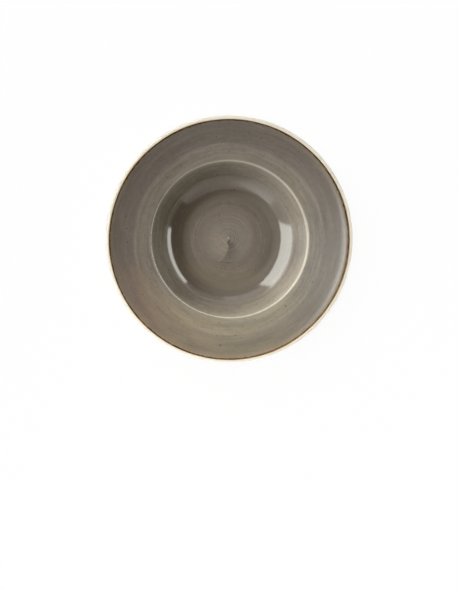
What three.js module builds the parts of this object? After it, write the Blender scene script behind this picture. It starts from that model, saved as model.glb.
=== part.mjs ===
// A wide-rimmed pasta plate in glazed stoneware: one fired clay body and the coats that lie on it.
import * as THREE from "three";

// Driving dimensions in millimetres and degrees. The foot stands on z = 0, and +Z is up.
const outsideDiameter = 280;
const plateHeight = 50;
const ringDiameter = 182; // where the wall of the well meets the rim
const ringHeight = 33.8;
const wallAngle = 44;
const wallThickness = 5.2;
const floorBlend = 41; // radius between the floor and the wall
const ringRound = 2.5;
const junctionRound = 8; // radius under the ring edge
const lipRound = 2.4;
const rimDish = 1.8; // the rim starts this much flatter than a straight one, and turns up to the lip
const footDiameter = 114;
const footWidth = 6;
const footHeight = 2;
const footFillet = 1;
const footRound = 0.8;
const recessRound = 0.6;
const dryHeight = 1.2; // bare clay between the table and the glaze
const glazeThickness = 0.5;
const bondGap = 0.02; // between a coat and the clay
const lineInset = 4.8; // from the rim's edge to the middle of the brown line
const lineWidth = 1.2;
const tanLineStop = 6; // turn of the lip left between the tan line and the rim's underside

// Facets: the most that an arc stands off its chords, and the steps round the axis.
const facetSag = 0.1;
const stepsAround = 64;

// Colours and gloss.
const bareClay = { color: 0xd8ccb4, roughness: 0.85 };
const greyGlaze = { color: 0x766d63, roughness: 0.2 };
const brownLine = { color: 0x57432d, roughness: 0.3 };
const lipCream = { color: 0xece3cf, roughness: 0.2 };
const tanLine = { color: 0xb7a37e, roughness: 0.3 };
const backCream = { color: 0xe4e0cf, roughness: 0.2 };

// The section is walked with the material on the right: out along the face, round the lip and
// back underneath to the axis. These are the main headings of that walk.
const rad = THREE.MathUtils.degToRad;
const outwards = 0;
const down = rad(-90);
const inwards = rad(-180);
const up = rad(-270);

function along(heading) {
  return new THREE.Vector2(Math.cos(heading), Math.sin(heading));
}

function outOf(heading) {
  return new THREE.Vector2(-Math.sin(heading), Math.cos(heading));
}

// A mark is a point of the section with the direction out of the material.
function mark(r, z, heading) {
  return { at: new THREE.Vector2(r, z), out: outOf(heading) };
}

// An arc about a centre. A right turn bulges out of the material, and a left turn is hollow.
function turn(centre, radius, from, to) {
  const side = Math.sign(from - to);
  const widest = 2 * Math.acos(Math.max(0, 1 - facetSag / radius));
  const steps = Math.ceil(Math.abs(to - from) / widest);
  return Array.from({ length: steps + 1 }, (_, i) => {
    const out = outOf(THREE.MathUtils.lerp(from, to, i / steps));
    return { at: centre.clone().addScaledVector(out, side * radius), out };
  });
}

// The same arc in the corner of two straight stretches.
function roundCorner(corner, radius, from, to) {
  const reach = radius * Math.tan(Math.abs(to - from) / 2);
  const centre = corner
    .clone()
    .addScaledVector(along(from), -reach)
    .addScaledVector(outOf(from), Math.sign(to - from) * radius);
  return turn(centre, radius, from, to);
}

// Where a line through p crosses a line through q.
function meet(p, headingP, q, headingQ) {
  const step = q.clone().sub(p).cross(along(headingQ)) / along(headingP).cross(along(headingQ));
  return p.clone().addScaledVector(along(headingP), step);
}

// The wall, the rim and the back hang on the ring edge and on the lip.
const climb = rad(wallAngle);
const floorHeight = footHeight + wallThickness;
const ringCorner = new THREE.Vector2(ringDiameter / 2, ringHeight);
const lipCentre = new THREE.Vector2(outsideDiameter / 2 - lipRound, plateHeight - lipRound);
const toLip = lipCentre.clone().sub(ringCorner);
const rimStart = toLip.angle() + Math.asin(lipRound / toLip.length()) - rad(rimDish);
const taper = Math.asin((wallThickness - lipRound) / toLip.length());
const underHeading = toLip.angle() + taper + inwards;
const wallHeading = climb + inwards;

const floorCorner = meet(new THREE.Vector2(0, floorHeight), outwards, ringCorner, climb);
const blendCentre = new THREE.Vector2(
  floorCorner.x - floorBlend * Math.tan(climb / 2),
  floorHeight + floorBlend,
);
const junction = meet(
  lipCentre.clone().addScaledVector(outOf(underHeading), lipRound),
  underHeading,
  ringCorner.clone().addScaledVector(outOf(wallHeading), wallThickness),
  wallHeading,
);

// The rim is one shallow hollow, from the end of the ring edge's round to the lip's round.
const ringEdge = roundCorner(ringCorner, ringRound, climb, rimStart);
const ringEnd = ringEdge.at(-1);
const fromLip = ringEnd.at.clone().sub(lipCentre);
const rimRadius =
  (fromLip.lengthSq() - lipRound ** 2) / (2 * (lipRound - fromLip.dot(ringEnd.out)));
const rimCentre = ringEnd.at.clone().addScaledVector(ringEnd.out, rimRadius);
function rimHeading(r) {
  return Math.asin((r - rimCentre.x) / rimRadius);
}
function rimMark(r) {
  const heading = rimHeading(r);
  const at = rimCentre.clone().addScaledVector(outOf(heading), -rimRadius);
  return mark(at.x, at.y, heading);
}
const rimEnd = Math.asin((lipCentre.x - rimCentre.x) / (rimRadius + lipRound));

// The outer wall runs out in a small hollow at the foot ring.
const footOuter = footDiameter / 2;
const footInner = footOuter - footWidth;
const outerBlend = floorBlend + wallThickness;
const hollowReach = outerBlend + footFillet;
const hollowRun = Math.max(0, footOuter + footFillet - blendCentre.x);
const hollowHeading = inwards + Math.asin(hollowRun / hollowReach);
const hollowCentre = new THREE.Vector2(
  footOuter + footFillet,
  blendCentre.y - Math.sqrt(hollowReach ** 2 - hollowRun ** 2),
);

// The rim carries the brown line. The tan one runs from the widest circle to near the underside.
const lineInner = outsideDiameter / 2 - lineInset - lineWidth / 2;
const lineOuter = lineInner + lineWidth;
const tanBottom = underHeading + rad(tanLineStop);

// The glazed stretches, in the order of the walk.
const face = [
  mark(0, floorHeight, outwards),
  ...roundCorner(floorCorner, floorBlend, outwards, climb),
  ...ringEdge,
  ...turn(rimCentre, rimRadius, rimStart, rimHeading(lineInner)).slice(1),
];
const upperLine = [rimMark(lineInner), rimMark(lineOuter)];
const lip = [
  rimMark(lineOuter),
  ...turn(lipCentre, lipRound, rimEnd, outwards),
  ...turn(lipCentre, lipRound, outwards, down).slice(1),
];
const lowerLine = turn(lipCentre, lipRound, down, tanBottom);
const back = [
  ...turn(lipCentre, lipRound, tanBottom, underHeading),
  ...roundCorner(junction, junctionRound, underHeading, wallHeading),
  ...turn(blendCentre, outerBlend, wallHeading, hollowHeading),
  ...turn(hollowCentre, footFillet, hollowHeading, down),
  mark(footOuter, dryHeight, down),
];
const recess = [
  mark(footInner, dryHeight, up),
  ...roundCorner(new THREE.Vector2(footInner, footHeight), recessRound, up, inwards),
  mark(0, footHeight, inwards),
];

// The foot is left dry, so its clay shows from the table up to the edges of the glaze.
const clayDepth = glazeThickness + bondGap;
const dryFoot = [
  ...roundCorner(new THREE.Vector2(footOuter - clayDepth, 0), footRound, down, inwards),
  ...roundCorner(new THREE.Vector2(footInner + clayDepth, 0), footRound, inwards, up),
];

// Points at a depth below the finished surface.
function sunk(marks, depth) {
  return marks.map(({ at, out }) => at.clone().addScaledVector(out, -depth));
}

// A stretch starts on the last mark of the one before it, and the clay takes that mark once.
function claySection() {
  const glazed = [face, upperLine.slice(1), lip.slice(1), lowerLine.slice(1), back.slice(1)];
  return [...sunk(glazed.flat(), clayDepth), ...sunk(dryFoot, 0), ...sunk(recess, clayDepth)];
}

// A coat reaches from the finished surface down by its own thickness. One that starts or ends on
// the axis is left open there, and the others close on themselves.
function coatSection(marks) {
  const top = sunk(marks, 0);
  const bed = sunk(marks, glazeThickness).reverse();
  if (bed[0].x === 0) {
    return [...bed, ...top];
  }
  const loop = [...top, ...bed];
  return top[0].x === 0 ? loop : [...loop, top[0].clone()];
}

function revolve(name, section, finish) {
  const geometry = new THREE.LatheGeometry(section.reverse(), stepsAround).rotateX(-down);
  const material = new THREE.MeshStandardMaterial({ ...finish, metalness: 0 });
  const piece = new THREE.Mesh(geometry, material);
  piece.name = name;
  return piece;
}

const plate = new THREE.Group();
plate.name = "pasta_plate";
plate.add(
  revolve("stoneware_body", claySection(), bareClay),
  revolve("face_glaze", coatSection(face), greyGlaze),
  revolve("upper_edge_line", coatSection(upperLine), brownLine),
  revolve("lip_glaze", coatSection(lip), lipCream),
  revolve("lower_edge_line", coatSection(lowerLine), tanLine),
  revolve("back_glaze", coatSection(back), backCream),
  revolve("recess_glaze", coatSection(recess), backCream),
);

export default plate;
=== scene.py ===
# %% [markdown]
# # A glazed pasta plate
# This lesson dresses a wide-rimmed stoneware pasta plate. Its solids were drawn and packed before, and
# they are loaded here as a fixed frame. Each step makes one smooth piece, gives it a finish made of
# nodes, and puts it where its solid stands. Lengths are in metres, +Z is up, and the foot stands on z = 0.

# %% Load the frame
import math

import bmesh
import bpy
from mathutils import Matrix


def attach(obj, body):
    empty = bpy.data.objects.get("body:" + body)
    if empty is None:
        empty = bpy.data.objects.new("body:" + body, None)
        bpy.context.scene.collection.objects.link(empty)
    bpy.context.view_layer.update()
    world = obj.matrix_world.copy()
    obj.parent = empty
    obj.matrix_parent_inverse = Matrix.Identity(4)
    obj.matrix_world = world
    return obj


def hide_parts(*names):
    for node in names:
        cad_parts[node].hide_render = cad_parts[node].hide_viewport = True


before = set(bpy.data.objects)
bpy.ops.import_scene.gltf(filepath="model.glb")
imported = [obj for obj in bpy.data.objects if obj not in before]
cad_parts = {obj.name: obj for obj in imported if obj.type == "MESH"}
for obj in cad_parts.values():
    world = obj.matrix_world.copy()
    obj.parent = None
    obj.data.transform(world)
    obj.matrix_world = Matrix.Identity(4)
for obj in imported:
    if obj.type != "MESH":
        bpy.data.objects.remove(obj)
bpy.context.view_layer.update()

print("solids:", sorted(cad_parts))

# %% [markdown]
# ## The section
# A potter turns a plate, so one line across it says all: out over the floor of the well, up the wall,
# over the ring edge, along the rim, round the lip and back underneath. It could be drawn by hand as a
# curve. Here it is made of tangent arcs, as the solids are, so every point also knows the way out of the
# clay, and each coat of glaze can lie on it at an even depth.

# %% Sizes of the section
mm = 0.001
RIM_RADIUS = 140 * mm
HEIGHT = 50 * mm
RING_RADIUS = 91 * mm  # where the wall of the well meets the rim
RING_HEIGHT = 33.8 * mm
RING_ROUND = 2.5 * mm
WALL_ANGLE = math.radians(44)
WALL = 5.2 * mm  # thickness of floor and wall
FLOOR_BLEND = 41 * mm  # radius between floor and wall
JUNCTION_ROUND = 8 * mm  # radius under the ring edge
LIP_ROUND = 2.4 * mm
RIM_DISH = math.radians(1.8)  # the rim starts this much flatter than a straight one
FOOT_RADIUS = 57 * mm
FOOT_WIDTH = 6 * mm
FOOT_HEIGHT = 2 * mm
FOOT_FILLET = 1 * mm
FOOT_ROUND = 0.8 * mm
RECESS_ROUND = 0.6 * mm
DRY_HEIGHT = 1.2 * mm  # bare clay between the table and the glaze
GLAZE = 0.5 * mm
BOND = 0.02 * mm  # between a coat and the clay
LINE_INNER = 134.6 * mm  # the two edges of the brown line
LINE_OUTER = 135.8 * mm
TAN_STOP = math.radians(6)  # turn of the lip left between the tan line and the rim's underside
print("plate", 2 * RIM_RADIUS, "m across and", HEIGHT, "m high")

# %% [markdown]
# ## Arcs and straights
# The line is walked with the clay on the right. A heading is the way of the walk, and the way out of the
# clay is a quarter turn to its left. An arc that turns right bulges, and one that turns left is hollow.
# Small rounds are cut into shorter steps than wide ones, so that none of them shows corners.

# %% Arcs and straights
OUT = 0.0
DOWN = math.radians(-90)
IN = math.radians(-180)
UP = math.radians(-270)
WIDE_STEP = 0.8 * mm
EDGE_STEP = 0.3 * mm
LIP_STEP = 0.25 * mm
FOOT_STEP = 0.15 * mm


def along(heading):
    return math.cos(heading), math.sin(heading)


def out_of(heading):
    return -math.sin(heading), math.cos(heading)


def shifted(point, direction, distance):
    return point[0] + direction[0] * distance, point[1] + direction[1] * distance


def turn(centre, radius, start, stop, step=WIDE_STEP):
    """An arc, as pairs of a point and the way out of the clay there."""
    side = 1 if start > stop else -1
    count = max(2, math.ceil(abs(stop - start) * radius / step))
    ways = [out_of(start + (stop - start) * i / count) for i in range(count + 1)]
    return [(shifted(centre, way, side * radius), way) for way in ways]


def round_corner(corner, radius, start, stop, step=WIDE_STEP):
    """The same arc in the corner of two straights."""
    reach = radius * math.tan(abs(stop - start) / 2)
    left = 1 if stop > start else -1
    centre = shifted(shifted(corner, along(start), -reach), out_of(start), left * radius)
    return turn(centre, radius, start, stop, step)


def meet(p, heading_p, q, heading_q):
    """Where a line through p crosses a line through q."""
    (ax, az), (bx, bz) = along(heading_p), along(heading_q)
    return shifted(p, (ax, az), ((q[0] - p[0]) * bz - (q[1] - p[1]) * bx) / (ax * bz - az * bx))


quarter = turn((0, 0), 1 * mm, UP, IN)
print("a bulging quarter round starts at", quarter[0][0], "and ends at", quarter[-1][0])

# %% [markdown]
# ## What the arcs hang on
# The wall runs down from the ring edge and meets the floor in a wide hollow. The rim is a very shallow
# hollow too: it leaves the ring edge a little flatter than a straight rim would, and turns up to the lip,
# so that only its outer edge mirrors the brightest softbox. Its radius follows from touching both rounds.

# %% Corners, centres and headings
floor_height = FOOT_HEIGHT + WALL
ring_corner = RING_RADIUS, RING_HEIGHT
lip_centre = RIM_RADIUS - LIP_ROUND, HEIGHT - LIP_ROUND
to_lip = math.atan2(lip_centre[1] - ring_corner[1], lip_centre[0] - ring_corner[0])
rim_length = math.dist(ring_corner, lip_centre)
rim_start = to_lip + math.asin(LIP_ROUND / rim_length) - RIM_DISH
under_heading = to_lip + math.asin((WALL - LIP_ROUND) / rim_length) + IN
wall_heading = WALL_ANGLE + IN
floor_corner = meet((0, floor_height), OUT, ring_corner, WALL_ANGLE)
blend_centre = floor_corner[0] - FLOOR_BLEND * math.tan(WALL_ANGLE / 2), floor_height + FLOOR_BLEND
junction = meet(shifted(lip_centre, out_of(under_heading), LIP_ROUND), under_heading,
                shifted(ring_corner, out_of(wall_heading), WALL), wall_heading)

hollow_reach = FLOOR_BLEND + WALL + FOOT_FILLET
hollow_run = FOOT_RADIUS + FOOT_FILLET - blend_centre[0]
hollow_heading = IN + math.asin(hollow_run / hollow_reach)
hollow_centre = FOOT_RADIUS + FOOT_FILLET, blend_centre[1] - math.sqrt(hollow_reach**2 - hollow_run**2)

ring_edge = round_corner(ring_corner, RING_ROUND, WALL_ANGLE, rim_start, EDGE_STEP)
ring_end, ring_way = ring_edge[-1]
from_lip = ring_end[0] - lip_centre[0], ring_end[1] - lip_centre[1]
rim_radius = ((math.hypot(*from_lip) ** 2 - LIP_ROUND**2)
              / (2 * (LIP_ROUND - from_lip[0] * ring_way[0] - from_lip[1] * ring_way[1])))
rim_centre = shifted(ring_end, ring_way, rim_radius)
rim_end = math.asin((lip_centre[0] - rim_centre[0]) / (rim_radius + LIP_ROUND))
print("rim slope", round(math.degrees(rim_start), 1), "to", round(math.degrees(rim_end), 1), "degrees")

# %% [markdown]
# ## The stretches that the coats cover
# On the real plate the coats lie side by side on one clay body: grey face, brown line, cream lip, tan line,
# cream back, and cream again in the recess under the floor. Only the foot stays dry. From the face to the
# back, each stretch starts on the last point of the one before it, so the coats meet without a step.

# %% Stretches
def rim_heading(r):
    return math.asin((r - rim_centre[0]) / rim_radius)


def rim_mark(r):
    way = out_of(rim_heading(r))
    return shifted(rim_centre, way, -rim_radius), way


foot_inner = FOOT_RADIUS - FOOT_WIDTH
clay_depth = GLAZE + BOND
tan_bottom = under_heading + TAN_STOP
face_line = [((0, floor_height), (0, 1)),
             *round_corner(floor_corner, FLOOR_BLEND, OUT, WALL_ANGLE),
             *ring_edge,
             *turn(rim_centre, rim_radius, rim_start, rim_heading(LINE_INNER))[1:]]
upper_line = [rim_mark(LINE_INNER), rim_mark(LINE_OUTER)]
lip_line = [rim_mark(LINE_OUTER),
            *turn(lip_centre, LIP_ROUND, rim_end, OUT, LIP_STEP),
            *turn(lip_centre, LIP_ROUND, OUT, DOWN, LIP_STEP)[1:]]
lower_line = turn(lip_centre, LIP_ROUND, DOWN, tan_bottom, LIP_STEP)
back_line = [*turn(lip_centre, LIP_ROUND, tan_bottom, under_heading, LIP_STEP),
             *round_corner(junction, JUNCTION_ROUND, under_heading, wall_heading),
             *turn(blend_centre, FLOOR_BLEND + WALL, wall_heading, hollow_heading),
             *turn(hollow_centre, FOOT_FILLET, hollow_heading, DOWN, FOOT_STEP),
             ((FOOT_RADIUS, DRY_HEIGHT), (1, 0))]
recess_line = [((foot_inner, DRY_HEIGHT), (-1, 0)),
               *round_corner((foot_inner, FOOT_HEIGHT), RECESS_ROUND, UP, IN, FOOT_STEP),
               ((0, FOOT_HEIGHT), (0, -1))]
dry_foot = [*round_corner((FOOT_RADIUS - clay_depth, 0), FOOT_ROUND, DOWN, IN, FOOT_STEP),
            *round_corner((foot_inner + clay_depth, 0), FOOT_ROUND, IN, UP, FOOT_STEP)]
print("highest point of the lip", max(point[1] for point, way in lip_line), "m")

# %% [markdown]
# ## From stretches to closed sections
# A coat is its stretch in fine steps, and the same stretch sunk by the glaze's depth in coarse ones, since
# nobody sees the bed. The clay lies a hair's breadth under all of them. A section ends on the axis
# or closes on itself, so that turning it gives a closed solid.
# Glaze runs off the lip while it melts, and gathers in a low bead beside it. The bead shows only as a soft
# sheen, so it is added here, on the three coats that it crosses, and not in the solids.

# %% Closed sections
BEAD_HEIGHT = 0.21 * mm
BEAD_RADIUS = 133.4 * mm
BEAD_WIDTH = 3.8 * mm


def sunk(marks, depth):
    return [shifted(point, way, -depth) for point, way in marks]


def between(a, b, s):
    return a[0] + (b[0] - a[0]) * s, a[1] + (b[1] - a[1]) * s


def filled(marks, spacing):
    """The same line with its straights cut into steps, so that it can take the bead and the unevenness."""
    line = [marks[0]]
    for (a, way_a), (b, way_b) in zip(marks, marks[1:]):
        count = max(1, math.ceil(math.dist(a, b) / spacing))
        for i in range(1, count + 1):
            line.append((between(a, b, i / count), between(way_a, way_b, i / count)))
    return line


def thinned(marks):
    """Every third mark, and both ends with the marks beside them."""
    last = len(marks) - 1
    return [mark for i, mark in enumerate(marks) if i % 3 == 0 or i in (1, last - 1, last)]


def bead(r):
    return BEAD_HEIGHT * math.exp(-(((r - BEAD_RADIUS) / BEAD_WIDTH) ** 2))


def coat_section(marks, spacing, gathers=False):
    line = filled(marks, spacing)
    shown = [shifted(point, way, bead(point[0]) if gathers else 0) for point, way in line]
    bed = sunk(thinned(marks), GLAZE)[::-1]
    if bed[0][0] == 0:
        return bed + shown
    return shown + bed if shown[0][0] == 0 else shown + bed + shown[:1]


glazed = face_line + upper_line[1:] + lip_line[1:] + lower_line[1:] + back_line[1:]
clay_section = sunk(thinned(glazed), clay_depth) + sunk(dry_foot, 0) + sunk(recess_line, clay_depth)
print("points in the section of the clay:", len(clay_section))

# %% [markdown]
# ## A helper that wires nodes
# Geometry Nodes and shaders are both trees of nodes. This helper adds a node, sets or links its inputs, and
# hands back its socket, so that a recipe reads in the order in which it works.

# %% Wiring
class Wiring:
    """Adds nodes to a tree. An input is a plain value or another node's socket."""

    def __init__(self, tree):
        self.tree = tree

    def set(self, socket, value):
        if isinstance(value, bpy.types.NodeSocket):
            self.tree.links.new(value, socket)
        else:
            socket.default_value = value

    def add(self, kind, inputs=(), **settings):
        node = self.tree.nodes.new(kind)
        for name, value in settings.items():
            setattr(node, name, value)
        for key, value in inputs.items() if isinstance(inputs, dict) else enumerate(inputs):
            self.set(node.inputs[key], value)
        return node

    def calc(self, operation, *values):
        return self.add("ShaderNodeMath", values, operation=operation).outputs[0]

    def ease(self, value, start, stop, low=0.0, high=1.0):
        """Goes smoothly from low to high while value goes from start to stop."""
        inputs = {"Value": value, "From Min": start, "From Max": stop, "To Min": low, "To Max": high}
        return self.add("ShaderNodeMapRange", inputs, interpolation_type="SMOOTHSTEP").outputs[0]


print("Wiring has", [name for name in vars(Wiring) if not name.startswith("_")])

# %% [markdown]
# ## Turning the section
# Turning is a rule, so Geometry Nodes do it. A grid has one column for each step round the axis and one row
# for each point of the section. Every grid point looks its section point up by its row, and is turned
# about Z by its column. Merging close points then shuts the seam and the poles.
# A real plate isn't dead true, so a slow noise lifts and lowers it by some hundredths of a millimetre.
# It reads nothing but the place in space, so neighbouring coats bend together.

# %% The turning tree
TURNING_INPUTS = (("Steps Around", "Int"), ("Unevenness", "Float"), ("Seed", "Int"), ("Finish", "Material"))
SEAM_REACH = 0.002 * mm
CUT_EDGE = math.radians(40)  # a sharper bend than this is the cut edge of a coat


def turning_tree():
    tree = bpy.data.node_groups.new("turn_section", "GeometryNodeTree")
    tree.interface.new_socket("Geometry", in_out="INPUT", socket_type="NodeSocketGeometry")
    for name, kind in TURNING_INPUTS:
        tree.interface.new_socket(name, in_out="INPUT", socket_type="NodeSocket" + kind)
    tree.interface.new_socket("Geometry", in_out="OUTPUT", socket_type="NodeSocketGeometry")
    w = Wiring(tree)
    given = w.add("NodeGroupInput").outputs
    place = w.add("GeometryNodeInputPosition").outputs[0]

    # the grid, and for each of its points the column and the row
    rows = w.add("GeometryNodeAttributeDomainSize", [given["Geometry"]]).outputs["Point Count"]
    columns = w.calc("ADD", given["Steps Around"], 1)
    grid = w.add("GeometryNodeMeshGrid", {"Vertices X": columns, "Vertices Y": rows}).outputs["Mesh"]
    index = w.add("GeometryNodeInputIndex").outputs[0]
    column = w.calc("FLOOR", w.calc("DIVIDE", w.calc("ADD", index, 0.5), rows))
    row = w.calc("SUBTRACT", index, w.calc("MULTIPLY", column, rows))

    # look the section point up and turn it about the axis
    drawn = w.add("GeometryNodeSampleIndex", {"Geometry": given["Geometry"], "Index": row},
                  data_type="FLOAT_VECTOR")
    w.set(drawn.inputs["Value"], place)
    angle = w.calc("MULTIPLY", w.calc("DIVIDE", column, given["Steps Around"]), math.tau)
    turned = w.add("ShaderNodeVectorRotate", {"Vector": drawn.outputs[0], "Angle": angle},
                   rotation_type="Z_AXIS").outputs[0]
    shell = w.add("GeometryNodeSetPosition", {"Geometry": grid, "Position": turned}).outputs[0]
    shut = w.add("GeometryNodeMergeByDistance", {"Geometry": shell, "Distance": SEAM_REACH}).outputs[0]

    # a little unevenness, none of it at the foot
    noise = w.add("ShaderNodeTexNoise", {"Vector": place, "W": given["Seed"], "Scale": 14.0, "Detail": 1.0},
                  noise_dimensions="4D").outputs[0]
    height = w.add("ShaderNodeSeparateXYZ", [place]).outputs["Z"]
    lift = w.calc("MULTIPLY", w.calc("SUBTRACT", noise, 0.5), given["Unevenness"])
    lift = w.calc("MULTIPLY", lift, w.ease(height, 4 * mm, 20 * mm))
    offset = w.add("ShaderNodeCombineXYZ", {"Z": lift}).outputs[0]
    uneven = w.add("GeometryNodeSetPosition", {"Geometry": shut, "Offset": offset}).outputs[0]

    # smooth everywhere but at the coat's cut edges
    smooth = w.add("GeometryNodeSetShadeSmooth", {"Geometry": uneven, "Shade Smooth": True}).outputs[0]
    bend = w.add("GeometryNodeInputMeshEdgeAngle").outputs[0]
    cut = w.calc("GREATER_THAN", bend, CUT_EDGE)
    crisp = w.add("GeometryNodeSetShadeSmooth", {"Geometry": smooth, "Selection": cut, "Shade Smooth": False},
                  domain="EDGE").outputs[0]
    real = w.add("GeometryNodeRealizeInstances", [crisp]).outputs[0]
    done = w.add("GeometryNodeSetMaterial", {"Geometry": real, "Material": given["Finish"]}).outputs[0]
    w.add("NodeGroupOutput", [done])
    return tree


turning = turning_tree()
print("turning tree:", len(turning.nodes), "nodes")

# %% [markdown]
# ## From tree to plain mesh
# The section goes in as loose points in order. The modifier's inputs are set before it is first evaluated,
# and the evaluated mesh is kept as plain data. Then the normals are turned outwards, and the piece joins the
# frame: it rides on the one body and stands in for its solid, which is hidden.

# %% Turn a piece
STEPS_AROUND = 360
UNEVENNESS = 0.12 * mm
SEED = 7


def turned_piece(name, section, finish, node):
    mesh = bpy.data.meshes.new(name + "_section")
    mesh.from_pydata([(r, 0, z) for r, z in section], [], [])
    piece = bpy.data.objects.new(name, mesh)
    bpy.context.scene.collection.objects.link(piece)
    modifier = piece.modifiers.new("turning", "NODES")
    modifier.node_group = turning
    keys = {item.name: item.identifier for item in turning.interface.items_tree if item.in_out == "INPUT"}
    for (key, _), value in zip(TURNING_INPUTS, (STEPS_AROUND, UNEVENNESS, SEED, finish)):
        modifier[keys[key]] = value
    solid = bpy.data.meshes.new_from_object(piece.evaluated_get(bpy.context.evaluated_depsgraph_get()))
    piece.modifiers.clear()
    piece.data = solid
    solid.name = name
    shell = bmesh.new()
    shell.from_mesh(solid)
    bmesh.ops.recalc_face_normals(shell, faces=shell.faces)
    open_edges = sum(not edge.is_manifold for edge in shell.edges)
    triangles = sum(len(face.verts) - 2 for face in shell.faces)
    shell.to_mesh(solid)
    shell.free()
    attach(piece, "root")
    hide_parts(node)
    print(name, "has", triangles, "triangles and", open_edges, "open edges")


print("each piece is turned in", STEPS_AROUND, "steps")

# %% [markdown]
# ## Colour and place
# Colours are written as ordinary screen values, as an eye or a colour picker reads them, and turned into the
# linear light that Blender works in. Every finish starts from the place on the plate in millimetres,
# with the radius and the bearing round the axis, because all of this plate's marks run round it.
# Bearings are degrees against the clock, from the right of the main picture: 90 is its far side, 180 its
# left and 270 its near side. Marks, lamps and camera are then turned together about the plate's axis by one
# angle. The main picture is the same for any such angle, and with this one no side view mirrors the
# brightest softbox.

# %% Brushwork
SET_TURN = math.radians(65)
GLAZE_IOR = 1.6


def shade(*screen):
    light = [v / 255 / 12.92 if v <= 10 else ((v / 255 + 0.055) / 1.055) ** 2.4 for v in screen]
    return (*light, 1.0)


class Brushwork(Wiring):
    """Wiring for one finish, with noise, colour mixing and the plate's own coordinates."""

    def __init__(self, name):
        self.finish = bpy.data.materials.new(name)
        self.finish.use_nodes = True
        super().__init__(self.finish.node_tree)
        self.surface = self.tree.nodes["Principled BSDF"].inputs
        seat = self.add("ShaderNodeTexCoord").outputs["Object"]
        seat = self.add("ShaderNodeVectorRotate", {"Vector": seat, "Angle": -SET_TURN},
                        rotation_type="Z_AXIS").outputs[0]
        self.at = self.scaled(seat, 1 / mm)
        self.x, self.y, self.z = self.add("ShaderNodeSeparateXYZ", [self.at]).outputs
        self.r, self.ux, self.uy = self.polar(self.x, self.y)

    def scaled(self, vector, scale):
        return self.add("ShaderNodeVectorMath", {0: vector, "Scale": scale}, operation="SCALE").outputs[0]

    def polar(self, x, y):
        """The radius, and the bearing as a step of length 1."""
        r = self.calc("SQRT", self.calc("ADD", self.calc("MULTIPLY", x, x), self.calc("MULTIPLY", y, y)))
        safe = self.calc("MAXIMUM", r, 0.001)
        return r, self.calc("DIVIDE", x, safe), self.calc("DIVIDE", y, safe)

    def vector(self, x, y, z):
        return self.add("ShaderNodeCombineXYZ", [x, y, z]).outputs[0]

    def noise(self, vector, scale=1.0, detail=2.0):
        return self.add("ShaderNodeTexNoise", {"Vector": vector, "Scale": scale, "Detail": detail}).outputs[0]

    def noise_round(self, pace, lift, detail=2.0):
        """Noise that changes with the bearing alone."""
        x, y = (self.calc("MULTIPLY", step, pace) for step in (self.ux, self.uy))
        return self.noise(self.vector(x, y, lift), 1.0, detail)

    def mix(self, share, under, over):
        """Lays one colour over another. Inputs 6 and 7 of this node are its colours."""
        node = self.add("ShaderNodeMix", {0: share}, data_type="RGBA")
        self.set(node.inputs[6], under)
        self.set(node.inputs[7], over)
        return node.outputs[2]

    def both(self, *shares):
        share = shares[0]
        for other in shares[1:]:
            share = self.calc("MULTIPLY", share, other)
        return share

    def off(self, value, middle):
        """How far a value is from the middle, to either side."""
        return self.calc("ABSOLUTE", self.calc("SUBTRACT", value, middle))

    def towards(self, bearing, spread):
        """1 on the side of the plate at this bearing, fading to 0 at spread degrees from it."""
        a = math.radians(bearing)
        across = self.calc("MULTIPLY", self.uy, math.sin(a))
        lean = self.calc("ADD", self.calc("MULTIPLY", self.ux, math.cos(a)), across)
        return self.ease(lean, math.cos(math.radians(spread)), 1.0)

    def gloss(self, roughness, height, depth):
        """A glassy surface with a fine relief of this depth."""
        self.set(self.surface["Roughness"], roughness)
        self.surface["IOR"].default_value = GLAZE_IOR
        relief = self.add("ShaderNodeBump", {"Height": height, "Strength": 1.0, "Distance": depth})
        self.set(self.surface["Normal"], relief.outputs[0])


print("mid grey 119 is", round(shade(119, 119, 119)[0], 3), "in linear light")

# %% [markdown]
# ## The clay
# Only the foot ring shows bare stoneware: warm, dry and gritty, with grey rub marks from tables. It could be
# one rough colour, but then it would look like plastic. Two scales of noise make the grain and the marks,
# and a bump of a few hundredths of a millimetre makes the grain catch the light.

# %% Clay body
def bare_clay():
    b = Brushwork("bare_clay")
    grain = b.noise(b.at, 2.2, 3.0)
    rub = b.noise(b.at, 0.09)
    tone = b.mix(b.ease(grain, 0.3, 0.7), shade(190, 173, 144), shade(228, 214, 190))
    rubbed = b.both(b.ease(rub, 0.5, 0.75, 0.0, 0.45), b.ease(b.z, 0.6, 0.1))
    b.set(b.surface["Base Color"], b.mix(rubbed, tone, shade(146, 138, 126)))
    b.gloss(b.ease(grain, 0.3, 0.7, 0.9, 0.8), grain, 0.05 * mm)
    return b.finish


turned_piece("clay_body", clay_section, bare_clay(), "stoneware_body")

# %% [markdown]
# ## The tones of the rim's edge
# At the edge the grey coat thins to a pale fringe, a dark iron line shows, and outside it the cream of the
# lip begins, toasted where the iron has bled into it. A line like this is banded by hand, so it drifts out
# on two sides, its width and its colour change round the rim, and on the near right it is nearly gold.
# The pieces that meet here share one recipe, and no seam shows.

# %% Edge recipe
CREAM = shade(224, 217, 200)
TOAST = shade(206, 176, 128)
FRINGE = shade(160, 138, 110)
IRON = shade(56, 40, 18)
RUST = shade(92, 67, 34)
GOLD = shade(114, 88, 48)
LINE_MIDDLE = 135.45


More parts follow.
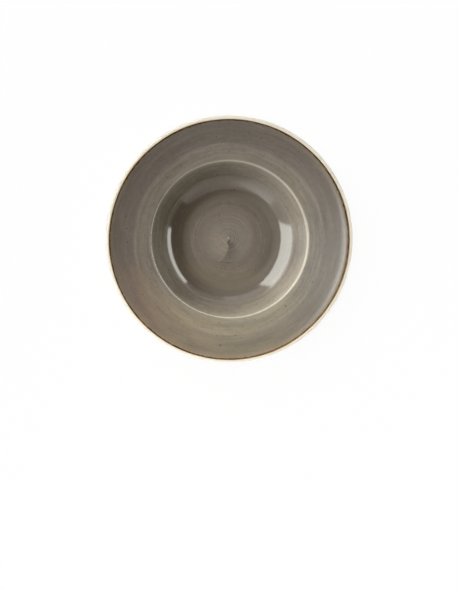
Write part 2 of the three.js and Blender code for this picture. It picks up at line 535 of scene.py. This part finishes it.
def edge_tones(b, ground):
    slow = b.noise_round(3.0, 0.3)
    short = b.noise_round(26.0, 4.1, 3.0)
    fine = b.noise(b.at, 0.9)
    right = b.towards(5, 50)

    # the radius, as if the line ran true
    drift = b.calc("MULTIPLY_ADD", b.towards(242, 88), 0.9, b.calc("MULTIPLY", right, 0.35))
    wobble = b.calc("MULTIPLY_ADD", short, 0.6, b.calc("MULTIPLY_ADD", fine, 0.4, -0.7))
    r = b.calc("SUBTRACT", b.r, b.calc("ADD", drift, wobble))

    # cream outside, with toast beside the line, and the fringe inside
    tone = b.mix(b.ease(r, 135.8, 136.4), ground, CREAM)
    bleed = b.both(b.ease(r, 137.6, 136.1), b.ease(r, 135.4, 136.0), b.ease(slow, 0.4, 0.7, 0.15, 0.7))
    tone = b.mix(bleed, tone, TOAST)
    fringe = b.both(b.ease(r, 132.6, 134.0), b.towards(275, 85), b.ease(short, 0.3, 0.6, 0.3, 0.8))
    tone = b.mix(b.both(fringe, b.ease(r, 136.0, 135.4)), tone, FRINGE)

    # the line, steeper outside than inside
    past = b.calc("SUBTRACT", r, LINE_MIDDLE)
    far = b.calc("MAXIMUM", b.calc("MULTIPLY", past, 1.4), b.calc("MULTIPLY", past, -1.0))
    wider = b.calc("MULTIPLY_ADD", right, 0.45, b.calc("MULTIPLY", b.towards(215, 60), 0.2))
    width = b.calc("ADD", b.ease(slow, 0.3, 0.7, 1.2, 1.6), wider)
    line = b.ease(b.calc("DIVIDE", far, width), 1.0, 0.4)
    iron = b.mix(b.ease(short, 0.35, 0.65), IRON, RUST)
    iron = b.mix(b.calc("MULTIPLY", b.towards(310, 65), 0.5), iron, GOLD)
    return b.mix(b.both(line, b.ease(short, 0.8, 0.5, 0.8, 1.0)), tone, iron)


print("the line's middle is at", LINE_MIDDLE, "mm, before it drifts")

# %% [markdown]
# ## The brushed strokes of the face
# The face coat is laid on while the plate turns under a wide brush. Its strokes run round the axis, some as
# wide as the brush and some as fine as its hairs. An image could hold them, but nodes stay sharp at any size:
# noise that is read by radius and bearing is drawn out into strokes by itself. Near the middle the
# strokes run round the point where the brush came down, which is about two millimetres off the axis.

# %% Stroke recipe
SWIRL_X = -1.3
SWIRL_Y = 1.7
STROKE_PALE = shade(176, 167, 149)
STROKE_DEEP = shade(62, 54, 47)
# width in millimetres, shortness of the strokes, lift of the noise, share of the tone
BRUSHES = ((8.0, 1.5, 2.0, 0.12), (2.6, 3.0, 5.0, 0.10), (0.9, 6.0, 9.0, 0.10))


def find_swirl(b):
    """Polar coordinates of the brush: off the axis in the well's floor, on the axis outside it."""
    share = b.ease(b.r, 70, 15)
    x = b.calc("SUBTRACT", b.x, b.calc("MULTIPLY", share, SWIRL_X))
    y = b.calc("SUBTRACT", b.y, b.calc("MULTIPLY", share, SWIRL_Y))
    b.q, b.vx, b.vy = b.polar(x, y)
    b.angle = b.calc("ARCTAN2", y, x)


def strokes(b, width, shortness, lift):
    """Noise in strokes of this width. Each lift gives other strokes."""
    pace = b.ease(b.q, 0, 130, 0.0, shortness)
    x = b.calc("MULTIPLY_ADD", b.vx, pace, lift)
    return b.noise(b.vector(b.calc("DIVIDE", b.q, width), x, b.calc("MULTIPLY", b.vy, pace)))


def mottled(b, tone, clear, field, reach, share, pale):
    """Paler where the field is high and deeper where it is low, by at most this share."""
    high = b.ease(field, 0.5, 0.5 + reach, 0.0, share)
    low = b.ease(field, 0.5, 0.5 - reach, 0.0, share)
    tone = b.mix(b.both(clear, high), tone, pale)
    return b.mix(b.both(clear, low), tone, STROKE_DEEP)


def stroke_tones(b, tone, clear):
    for width, shortness, lift, share in BRUSHES:
        field = strokes(b, width, shortness, lift)
        tone = mottled(b, tone, clear, field, 0.28, share, STROKE_PALE)
    return tone


print("brush comes down at", SWIRL_X, SWIRL_Y, "mm")

# %% [markdown]
# ## The spiral
# Where the brush comes down it winds outwards. That leaves a faint spiral in the middle of the floor, round a
# pale spot. It could be a drawn curve, but that would be too even. Here a sine of radius and angle winds
# the spiral, noise breaks it up, and a finer sine of the radius alone draws hair lines, strongest on the
# right.

# %% Spiral recipe
SWIRL_PALE = shade(168, 160, 136)
SWIRL_DEEP = shade(70, 62, 54)
SPIRAL_PITCH = 4.1
HAIR_PITCH = 2.3


def spiral_tones(b, tone):
    wobble = b.calc("MULTIPLY_ADD", b.noise(b.at, 0.16), 2.4, -1.2)
    b.wavy_q = b.calc("ADD", b.q, wobble)
    winding = b.calc("MULTIPLY", b.wavy_q, math.tau / SPIRAL_PITCH)
    wave = b.calc("SINE", b.calc("ADD", winding, b.angle))
    broken = b.ease(b.noise(b.at, 0.09), 0.35, 0.65, 0.2, 1.0)
    broken = b.calc("MAXIMUM", broken, b.ease(b.q, 13, 7))
    near = b.both(b.ease(b.q, 27, 5), b.ease(b.q, 0.0, 1.5), broken)
    tone = b.mix(b.both(near, b.ease(wave, 0.0, 1.0, 0.0, 0.12)), tone, SWIRL_PALE)
    tone = b.mix(b.both(near, b.ease(wave, 0.0, -1.0, 0.0, 0.1)), tone, SWIRL_DEEP)
    rings = b.calc("MULTIPLY", b.calc("MULTIPLY_ADD", wobble, 0.5, b.q), math.tau / HAIR_PITCH)
    hairs = b.both(b.ease(b.q, 22, 5), b.ease(b.vx, -0.2, 0.9, 0.14, 0.34))
    tone = b.mix(b.both(hairs, b.ease(b.calc("SINE", rings), -0.2, 1.0)), tone, SWIRL_DEEP)
    return b.mix(b.ease(b.q, 2.6, 0.5, 0.0, 0.6), tone, SWIRL_PALE)


print("the spiral widens", SPIRAL_PITCH, "mm in each turn")

# %% [markdown]
# ## The comma
# Where the brush lifts off it leaves a pale lip of glaze with a thin dark place behind it, like a comma.
# To draw it, the angle is counted from an edge that curves back with the radius and hooks near the middle.
# The count jumps from 1 to 0 at that edge, and ramps over it give the pale side, the long fade round and the
# dark side. A short dark arc ends the comma.

# %% Comma recipe
COMMA_START = math.radians(-75)
COMMA_CURVE = math.radians(-1.2)  # for each millimetre
COMMA_HOOK = math.radians(-20)
ARC_RADIUS = 28.6


def comma_tones(b, tone):
    q = b.wavy_q
    hook = b.ease(b.off(q, 5.0), 3.5, 0.5, 0.0, COMMA_HOOK)
    edge = b.calc("ADD", b.calc("MULTIPLY_ADD", q, COMMA_CURVE, COMMA_START), hook)
    count = b.calc("FRACT", b.calc("DIVIDE", b.calc("SUBTRACT", edge, b.angle), math.tau))
    off_spot = b.ease(b.q, 1.0, 4.0)
    jump = b.ease(count, 1.0, 0.99)
    ahead = b.both(off_spot, b.ease(b.q, 33, 8), b.ease(count, 0.52, 0.12), b.ease(count, 0.0, 0.012), jump)
    behind = b.both(off_spot, b.ease(b.q, 33, 19), b.ease(count, 0.82, 0.975), jump)
    tone = b.mix(b.both(ahead, b.ease(b.noise(b.at, 0.35, 3.0), 0.3, 0.7, 0.17, 0.34)), tone, SWIRL_PALE)
    tone = b.mix(b.both(behind, b.ease(b.q, 14, 6, 0.42, 0.62)), tone, SWIRL_DEEP)
    arc = b.ease(b.off(q, ARC_RADIUS), 1.2, 0.2)
    return b.mix(b.both(arc, b.ease(count, 0.88, 0.96, 0.0, 0.4)), tone, SWIRL_DEEP)


print("the comma's edge starts at", round(math.degrees(COMMA_START)), "degrees")

# %% [markdown]
# ## Specks
# Iron grains in the clay melt into the glaze as dark specks, no two alike. Cells scatter one point each over
# the plate seen from above, random values per cell leave at least half of them out and size the rest, and
# noise pulls them out of round.

# %% Speck recipe
# size of a cell in millimetres, share of the cells that is kept, smallest and largest radius, darkness
LARGE_SPECKS = (15.0, 0.5, 0.32, 0.75, 0.9)
SMALL_SPECKS = (6.0, 0.5, 0.2, 0.45, 0.8)
PIN_SPECKS = (15.0, 0.35, 0.12, 0.35, 0.6)


def specks(b, cell, kept, smallest, largest, dark):
    """How dark each place is with spots, one of them to a cell."""
    drawn = b.add("ShaderNodeTexNoise", {"Vector": b.at, "Scale": 1.1}).outputs[1]
    places = [b.scaled(b.at, 1 / cell), b.scaled(drawn, 0.9 / cell)]
    grid = b.add("ShaderNodeVectorMath", places, operation="ADD").outputs[0]
    cells = b.add("ShaderNodeTexVoronoi", {"Vector": grid, "Scale": 1.0}, voronoi_dimensions="2D")
    pick, size, depth = b.add("ShaderNodeSeparateColor", [cells.outputs["Color"]]).outputs
    reach = b.ease(size, 0.0, 1.0, smallest / cell, largest / cell)
    spot = b.ease(b.calc("DIVIDE", cells.outputs["Distance"], reach), 1.15, 0.6)
    return b.both(spot, b.calc("LESS_THAN", pick, kept), b.ease(depth, 0.0, 1.0, 0.4 * dark, dark))


for name, (cell, kept, *_) in (("large", LARGE_SPECKS), ("small", SMALL_SPECKS)):
    print(name, "specks on a face:", round(kept * math.pi * (RIM_RADIUS / mm / cell) ** 2))

# %% [markdown]
# ## The ground tone of the face
# The tone is darkest in the bend of the well, as painted shade of the bend, and paler on the floor and the
# wall.
# One brush pass ends less than halfway up the rim, and outside it the tone is darker again. A ramp over the
# radius holds these tones, and the wide strokes push it in and out, so that no step is a true circle.

# %% Face ground
RAMP_END = 140
# the dip in tone from 46 to 57 mm is painted shade in the bend of the well
FACE_TONES = ((0, (129, 120, 110)), (20, (126, 117, 107)), (32, (116, 106, 96)), (46, (103, 94, 85)),
              (57, (98, 89, 80)), (70, (112, 103, 92)), (84, (118, 109, 97)), (92, (127, 118, 105)),
              (103, (127, 118, 106)), (107, (132, 123, 111)), (110.5, (115, 106, 97)), (126, (105, 96, 87)),
              (130, (102, 92, 82)), (133, (110, 98, 84)))


def face_ground(b, wide):
    place = b.calc("ADD", b.r, b.calc("MULTIPLY_ADD", wide, 5.0, -2.5))
    ramp = b.add("ShaderNodeValToRGB", [b.calc("DIVIDE", place, RAMP_END)])
    spots = ramp.color_ramp.elements
    for spot, (radius, screen) in zip(spots, (FACE_TONES[0], FACE_TONES[-1])):
        spot.position = radius / RAMP_END
        spot.color = shade(*screen)
    for radius, screen in FACE_TONES[1:-1]:
        spots.new(radius / RAMP_END).color = shade(*screen)
    return ramp.outputs[0]


print("tones from the middle to the edge:", len(FACE_TONES))

# %% [markdown]
# ## Washes and painted light
# No side of a brushed plate is quite like another. Here the coat is brown on the near left of the rim, and
# straw on the near side, partly glaze colour and partly painted light. The rest is painted light and shade:
# the left half of the well and the far side of the rim are painted darker, the right of the rim a darker cool
# grey, and the right and near parts of the well and a band beside the brown line paler. One painted image
# could show that, but it would blur. Each patch is a thin wash instead: one colour, laid on one side of the
# plate and between two radii.

# %% Washes
PAST_EDGE = (160, 150)  # for a wash that goes on to the edge of the plate


def wash(b, tone, screen, side, rise, share, fall=PAST_EDGE):
    where = b.both(b.ease(b.r, *rise), b.ease(b.r, *fall), b.towards(*side), share)
    return b.mix(where, tone, shade(*screen))


def washes_and_painted_light(b, tone, wide):
    # brown streaks on the near left of the rim; straw on the near side, partly glaze colour and partly
    # painted light; and painted shade, a darker cool grey, on the right of the rim
    brown = b.ease(wide, 0.3, 0.6, 0.35, 0.7)
    straw_and_painted_light = b.ease(wide, 0.35, 0.65, 0.2, 0.5)
    tone = wash(b, tone, (133, 113, 98), side=(224, 42), rise=(93, 104), share=brown)
    tone = wash(b, tone, (156, 144, 114), side=(282, 75), rise=(60, 96), share=straw_and_painted_light)
    tone = wash(b, tone, (100, 94, 87), side=(350, 50), rise=(91, 96), share=0.5)
    # painted shade on the left of the well, from the bend up the wall, the side turned away from the main
    # lamp
    tone = wash(b, tone, (78, 67, 52), side=(160, 115), rise=(46, 56), fall=(90, 72), share=0.62)
    tone = wash(b, tone, (60, 50, 38), side=(185, 80), rise=(52, 57), fall=(72, 66), share=0.4)
    tone = wash(b, tone, (72, 63, 46), side=(203, 45), rise=(76, 83), fall=(90, 87), share=0.5)
    tone = wash(b, tone, (98, 86, 60), side=(165, 85), rise=(66, 74), fall=(90, 87), share=0.5)
    # painted shade on the far side of the rim, and a painted sheen along its edge on the right
    tone = wash(b, tone, (88, 80, 72), side=(95, 60), rise=(90, 118), share=0.5)
    tone = wash(b, tone, (142, 127, 108), side=(330, 110), rise=(129.5, 132.5), share=0.55)
    # pale outside the near ring edge, and more straw on the inner half of the rim, partly glaze colour and
    # partly painted light
    inner = b.both(b.ease(b.r, 122, 106, 0.1, 1.0), b.ease(wide, 0.35, 0.65, 0.3, 0.65))
    tone = wash(b, tone, (166, 156, 136), side=(275, 85), rise=(90, 91), fall=(99, 92), share=0.5)
    tone = wash(b, tone, (150, 139, 115), side=(258, 68), rise=(93, 104), share=inner)
    # painted light in the well: far right wall and near floor, and painted gleam beside the right gleam in
    # the bend and on the near right wall
    tone = wash(b, tone, (152, 143, 126), side=(30, 45), rise=(70, 76), fall=(90, 84), share=0.4)
    tone = wash(b, tone, (128, 119, 100), side=(262, 75), rise=(26, 42), fall=(66, 54), share=0.5)
    tone = wash(b, tone, (124, 115, 103), side=(345, 110), rise=(49, 55), fall=(62, 58), share=0.45)
    return wash(b, tone, (160, 150, 128), side=(308, 45), rise=(74, 79), fall=(90, 87), share=0.3)


print("a wash without a fall goes on to the edge at", RIM_RADIUS / mm, "mm")

# %% [markdown]
# ## The ring edge
# Over the ring edge the coat runs thin, and the cream of the body breaks through as a fine frayed line with
# a pale halo on the wall below it. On the left the line is finer and clearer. There and on the far right it
# lies a little further in.

# %% Ring edge
RING_LINE = 89.9
RING_HALO = shade(178, 169, 150)
RING_CREAM = shade(222, 212, 190)


def ring_tones(b, tone):
    """The tone with the line laid over it, and how far each place is from the line."""
    thin_side = b.towards(205, 90)
    inward = b.calc("MULTIPLY", b.calc("MAXIMUM", thin_side, b.towards(35, 60)), 0.6)
    near_ring = b.off(b.calc("ADD", b.r, inward), RING_LINE)
    frayed = b.calc("ADD", near_ring, b.calc("MULTIPLY_ADD", b.noise(b.at, 0.5, 3.0), 1.0, -0.5))
    frayed = b.calc("MULTIPLY", frayed, b.calc("MULTIPLY_ADD", thin_side, 1.2, 1.0))
    halo = b.both(b.ease(b.r, 85.0, 89.6), b.ease(b.r, 91.6, 90.4))
    tone = b.mix(b.both(halo, b.calc("MULTIPLY_ADD", thin_side, -0.16, 0.28)), tone, RING_HALO)
    line = b.both(b.ease(frayed, 1.3, 0.1), b.calc("MULTIPLY_ADD", thin_side, 0.5, 0.5))
    return b.mix(line, tone, RING_CREAM), near_ring


print("the ring's line is at", RING_LINE, "mm")

# %% [markdown]
# ## The grey face
# Now the layers go on in order: ground, washes with their painted light and shade, clouds in the melt, brush
# strokes, spiral and comma, the ring's line, the specks, and the tones of the rim's edge. In the bend of the
# well the thick glaze melts the strokes together, so they are fainter there. They are clearest on the wall
# and the inner rim.
# The relief of the strokes is only a hundredth of a millimetre deep, just enough to break the gleams.

# %% Face finish
BEND_RADIUS = 57
CLOUD_PALE = shade(150, 141, 126)
SPECK_BROWN = shade(48, 39, 32)


def grey_glaze():
    b = Brushwork("grey_glaze")
    find_swirl(b)
    wide = strokes(b, 9.0, 2.0, 3.0)
    tone = washes_and_painted_light(b, face_ground(b, wide), wide)
    melted = b.ease(b.off(b.r, BEND_RADIUS), 7, 16, 0.35, 1.0)
    clear = b.both(melted, b.ease(b.r, 72, 78, 1.0, 1.3), b.ease(b.r, 106, 117, 1.0, 0.55))
    for scale, share in ((0.2, 0.1), (0.8, 0.11)):
        cloud = b.noise(b.at, scale, 3.0)
        tone = mottled(b, tone, clear, cloud, 0.25, share, CLOUD_PALE)
    tone = comma_tones(b, spiral_tones(b, stroke_tones(b, tone, clear)))
    tone, near_ring = ring_tones(b, tone)
    iron = b.calc("MAXIMUM", specks(b, *LARGE_SPECKS), specks(b, *SMALL_SPECKS))
    tone = b.mix(b.both(iron, b.ease(b.r, 40, 60, 0.6, 1.0)), tone, SPECK_BROWN)
    b.set(b.surface["Base Color"], edge_tones(b, tone))
    roughness = b.calc("MAXIMUM", b.ease(near_ring, 0.5, 2.5, 0.35, 0.1), b.ease(b.r, 69, 76, 0.1, 0.2))
    b.gloss(roughness, strokes(b, 1.6, 5.0, 7.0), 0.012 * mm)
    return b.finish


face_section = coat_section(face_line, 0.8 * mm, gathers=True)
turned_piece("brushed_face", face_section, grey_glaze(), "face_glaze")

# %% [markdown]
# ## Brown line and cream lip
# Both take the edge recipe as it is. Under the line lies the last thin grey. The lip is a clouded cream, with
# painted light making it palest towards the near right, the side that the lamps leave in shade. Their mirror
# is kept weak, so that the narrow round doesn't flash white.

# %% Brown line and lip
LAST_GREY = shade(132, 119, 102)
LIP_CLOUD = shade(216, 206, 186)
LIP_PAINTED_LIGHT = shade(248, 242, 228)
LIP_MIRROR = 0.12


def edge_glaze(name, ground, roughness):
    b = Brushwork(name)
    cloud = b.noise(b.at, 0.12, 3.0)
    if ground == CREAM:
        ground = b.mix(b.ease(cloud, 0.3, 0.7), CREAM, LIP_CLOUD)
        # painted light: the lip is made paler towards the near right
        ground = b.mix(b.towards(305, 125), ground, LIP_PAINTED_LIGHT)
    b.set(b.surface["Base Color"], edge_tones(b, ground))
    b.gloss(b.ease(cloud, 0.3, 0.7, roughness, 1.3 * roughness), b.noise(b.at, 0.5), 0.02 * mm)
    b.surface["Specular IOR Level"].default_value = LIP_MIRROR
    return b.finish


brown_glaze = edge_glaze("brown_line", LAST_GREY, 0.12)
turned_piece("brown_line", coat_section(upper_line, 0.3 * mm, gathers=True), brown_glaze,
             "upper_edge_line")
lip_cream = edge_glaze("lip_cream", CREAM, 0.4)
turned_piece("cream_lip", coat_section(lip_line, 0.4 * mm, gathers=True), lip_cream,
             "lip_glaze")

# %% [markdown]
# ## Tan line
# Under the lip the glaze runs thin and toasts to tan. The line fades into the cream above it, so its tone
# follows the height, with noise to fray the edge.

# %% Tan line
TAN_DEEP = shade(164, 134, 88)
TAN_PALE = shade(205, 180, 136)


def tan_line():
    b = Brushwork("tan_line")
    frayed = b.calc("ADD", b.z, b.calc("MULTIPLY_ADD", b.noise(b.at, 0.5, 3.0), 1.2, -0.6))
    strength = b.both(b.ease(frayed, 47.9, 47.2), b.ease(b.noise(b.at, 0.05), 0.3, 0.7, 0.7, 1.0))
    toast = b.mix(b.noise(b.at, 0.3, 3.0), TAN_DEEP, TAN_PALE)
    b.set(b.surface["Base Color"], b.mix(strength, CREAM, toast))
    b.gloss(b.ease(strength, 0.0, 1.0, 0.12, 0.2), b.noise(b.at, 0.5), 0.02 * mm)
    return b.finish


turned_piece("tan_line", coat_section(lower_line, 0.4 * mm), tan_line(), "lower_edge_line")

# %% [markdown]
# ## The cream back
# The back coat is one glossy cream. It is warmer and a little green where it gathers above the foot, and it
# has a few pin-sized specks. A slow noise clouds it, so that it isn't one flat tone.

# %% Back and recess
BACK_DEEP = shade(224, 218, 199)
BACK_PALE = shade(236, 231, 216)
BACK_GREEN = shade(209, 203, 176)
BACK_SPECK = shade(120, 98, 66)


def back_cream():
    b = Brushwork("back_cream")
    cloud = b.noise(b.at, 0.035, 3.0)
    tone = b.mix(b.ease(cloud, 0.3, 0.7), BACK_DEEP, BACK_PALE)
    low = b.calc("ADD", b.z, b.calc("MULTIPLY_ADD", cloud, 6.0, -3.0))
    tone = b.mix(b.ease(low, 10, 1.5, 0.0, 0.7), tone, BACK_GREEN)
    tone = b.mix(specks(b, *PIN_SPECKS), tone, BACK_SPECK)
    b.set(b.surface["Base Color"], tone)
    b.gloss(b.ease(cloud, 0.3, 0.7, 0.14, 0.08), b.noise(b.at, 0.25), 0.02 * mm)
    return b.finish


cream = back_cream()
turned_piece("cream_back", coat_section(back_line, 1.5 * mm), cream, "back_glaze")
turned_piece("cream_recess", coat_section(recess_line, 2 * mm), cream, "recess_glaze")

# %% [markdown]
# ## The table
# The table is plain and nearly white. Light on it is real, so the plate's shadow stays. What the camera and
# the glaze's reflections see of it is mixed with pure white: two fifths of it under the plate, nearly all
# of it past the rim, and all of it far away. So the ground reads white without any more light on the
# plate, and no horizon shows.

# %% Table
TABLE_HALF = 12.0
TABLE_LEVEL = -0.1 * mm
TABLE_WHITE = shade(234, 234, 232)


def white_table():
    b = Brushwork("white_table")
    b.surface["Base Color"].default_value = TABLE_WHITE
    b.surface["Roughness"].default_value = 1.0
    b.surface["Specular IOR Level"].default_value = 0.0
    path = b.add("ShaderNodeLightPath").outputs
    mirrored = b.calc("MAXIMUM", path["Is Glossy Ray"], path["Is Transmission Ray"])
    seen = b.calc("MAXIMUM", path["Is Camera Ray"], mirrored)
    white = b.add("ShaderNodeEmission", {"Color": (1, 1, 1, 1), "Strength": 1.0})
    paleness = b.calc("ADD", b.ease(b.r, 85, 155, 0.4, 0.965), b.ease(b.r, 200, 700, 0.0, 0.04))
    plain = b.tree.nodes["Principled BSDF"].outputs[0]
    lit = b.add("ShaderNodeMixShader", [b.both(seen, paleness), plain, white.outputs[0]])
    b.tree.links.new(lit.outputs[0], b.tree.nodes["Material Output"].inputs[0])
    return b.finish


table_mesh = bpy.data.meshes.new("table")
corners = [(x * TABLE_HALF, y * TABLE_HALF, TABLE_LEVEL) for x, y in ((-1, -1), (1, -1), (1, 1), (-1, 1))]
table_mesh.from_pydata(corners, [], [(0, 1, 2, 3)])
table_mesh.materials.append(white_table())
table = bpy.data.objects.new("table", table_mesh)
bpy.context.scene.collection.objects.link(table)
print("table", 2 * TABLE_HALF, "m wide")

# %% [markdown]
# ## Studio light
# A glossy well mirrors each lamp where its slope is right, so the gleams tell where the lamps stood. A
# panel on the left makes the broad gleam on the right wall, and it leans in, which slants the gleam's ends.
# Two dimmer panels, one to each side of it, draw that gleam out along the far right and the near wall.
# A far window on the right makes the thin gleam on the left wall. A dim panel in front makes the soft band
# on the far wall, and two panels with a grid, which dim towards the side, make its ends clearer.
# Real panels light the plate and gleam on it at once. In Blender a lamp can be kept out of reflections, or
# out of everything else, so here some only gleam and others only light: a tall panel on the left, one
# behind, and two low cards that lift the lip and the back.
# Each panel is placed by the angles that it fills, and its power follows from how bright its face is.

# %% Softboxes
COOL = (0.97, 0.99, 0.93)
WARM = (1.0, 0.97, 0.91)
PLAIN = (1.0, 1.0, 1.0)


def softbox(name, facing, distance, heights, sides, brightness, nod=0, grid=180, tint=PLAIN,
            lights=True, gleams=True):
    """A panel that fills these elevations and bearings, seen from the middle of the plate.

    All angles are in degrees. The panel leans in by nod, and a grid under 180 narrows its light.
    """
    lean = math.tan(math.radians(nod))
    climbs = [math.tan(math.radians(angle)) for angle in heights]
    bottom, top = (distance * climb / (1 + lean * climb) for climb in climbs)
    middle = (bottom + top) / 2
    reach = distance - middle * lean
    left, right = (reach * math.tan(math.radians(angle - facing)) for angle in sides)
    aside = (left + right) / 2
    lamp = bpy.data.lights.new(name, "AREA")
    lamp.shape = "RECTANGLE"
    lamp.size = right - left
    lamp.size_y = (top - bottom) / math.cos(math.radians(nod))
    lamp.energy = brightness * math.pi * lamp.size * lamp.size_y
    lamp.spread = math.radians(grid)
    lamp.color = tint
    box = bpy.data.objects.new(name, lamp)
    a = math.radians(facing) + SET_TURN
    box.location = shifted(shifted((0, 0), along(a), reach), out_of(a), aside) + (middle,)
    box.rotation_euler = math.pi / 2 - math.radians(nod), 0, a + math.pi / 2
    box.visible_camera = False
    box.visible_diffuse = lights
    box.visible_glossy = gleams
    bpy.context.scene.collection.objects.link(box)
    print(name, "softbox", round(lamp.energy, 2), "W")


softbox("gleam", 170, 0.55, (17.9, 59.8), (128, 195.5), 7.2, nod=15, tint=COOL, lights=False)
softbox("tall", 163, 0.75, (37, 73), (131, 195), 3.9, gleams=False)
softbox("side", 218, 0.6, (22, 58), (196, 220), 1.0, tint=WARM)
softbox("right_end", 220, 0.6, (22, 60), (220, 262), 0.37, nod=46, grid=78, tint=WARM)
softbox("left_end", 320, 0.6, (28, 46), (290, 320), 0.034, nod=36, grid=50, tint=WARM)
softbox("window", 11, 3.0, (19.9, 32.9), (-11, 45), 6.6, tint=COOL, lights=False)
softbox("behind", 110, 0.9, (32, 72), (70, 150), 2.7, gleams=False)
softbox("card", 335, 0.5, (0, 8), (280, 390), 8.0, gleams=False)
softbox("low", 255, 0.55, (0, 8), (215, 295), 6.5, gleams=False)
softbox("front", 270, 0.5, (22, 62), (220, 320), 0.65, tint=WARM, lights=False)
softbox("tail", 110, 0.6, (23, 42), (85, 126), 1.1, lights=False)

# %% [markdown]
# ## The room
# The room is white for the camera. For light it glows near the horizon, as a lit paper sweep does, and is
# dark overhead, which keeps the glaze deep. Reflections see one side of the sweep brighter, on the far left.

# %% Room
HORIZON_GLOW = 0.75
OVERHEAD_GLOW = 0.05
SWEEP_GLOW = 2.4
SWEEP_BEARING = math.radians(150) + SET_TURN

room = bpy.data.worlds.new("room")
room.use_nodes = True
bpy.context.scene.world = room
w = Wiring(room.node_tree)
way = w.add("ShaderNodeTexCoord").outputs["Generated"]
height = w.add("ShaderNodeSeparateXYZ", [way]).outputs["Z"]
path = w.add("ShaderNodeLightPath").outputs
sweep_way = (math.cos(SWEEP_BEARING), math.sin(SWEEP_BEARING), 0)
side = w.add("ShaderNodeVectorMath", [way, sweep_way], operation="DOT_PRODUCT").outputs["Value"]
sweep = w.calc("MULTIPLY", w.ease(side, -0.3, 1.0, 0.0, SWEEP_GLOW), w.ease(height, 0.3, 0.1))
all_round = w.ease(height, 0.16, 0.4, HORIZON_GLOW, OVERHEAD_GLOW)
glow = w.calc("MULTIPLY_ADD", sweep, path["Is Glossy Ray"], all_round)
background = room.node_tree.nodes["Background"].inputs
background["Color"].default_value = (1, 1, 1, 1)
w.set(background["Strength"], w.calc("MAXIMUM", glow, path["Is Camera Ray"]))
print("room glow", HORIZON_GLOW, "at the horizon and", OVERHEAD_GLOW, "overhead, and a sweep of", SWEEP_GLOW)

# %% [markdown]
# ## Camera
# The plate is seen from straight above, with its middle a little above the middle of the frame. So the
# camera stands over the plate's middle and is tilted a little towards the near side. It turns with the set.
# The lens follows from how large the plate is in the frame.

# %% Camera
FRAME_WIDE = 458
FRAME_TALL = 590
PLATE_ASIDE = 229.2  # the plate's middle and its radius in the frame, in pixels
PLATE_MIDDLE = 239.35
PLATE_RADIUS = 123.4
EYE_HEIGHT = 1.8  # above the lip
SENSOR = 36

focus = PLATE_RADIUS / RIM_RADIUS * EYE_HEIGHT
camera = bpy.data.cameras.new("camera")
camera.sensor_width = SENSOR
camera.lens = focus / FRAME_TALL * SENSOR
eye = bpy.data.objects.new("camera", camera)
aside = (FRAME_WIDE / 2 - PLATE_ASIDE) / PLATE_RADIUS * RIM_RADIUS
eye.location = aside * math.cos(SET_TURN), aside * math.sin(SET_TURN), EYE_HEIGHT + lip_centre[1]
eye.rotation_euler = -math.atan2(FRAME_TALL / 2 - PLATE_MIDDLE, focus), 0, SET_TURN
bpy.context.scene.collection.objects.link(eye)
bpy.context.scene.camera = eye
bpy.context.scene.view_settings.view_transform = "Standard"
print("lens", round(camera.lens, 1), "mm")

# %% [markdown]
# ## Finish
# The view layer is updated once more before the scene is closed.

# %% Finish
bpy.context.view_layer.update()
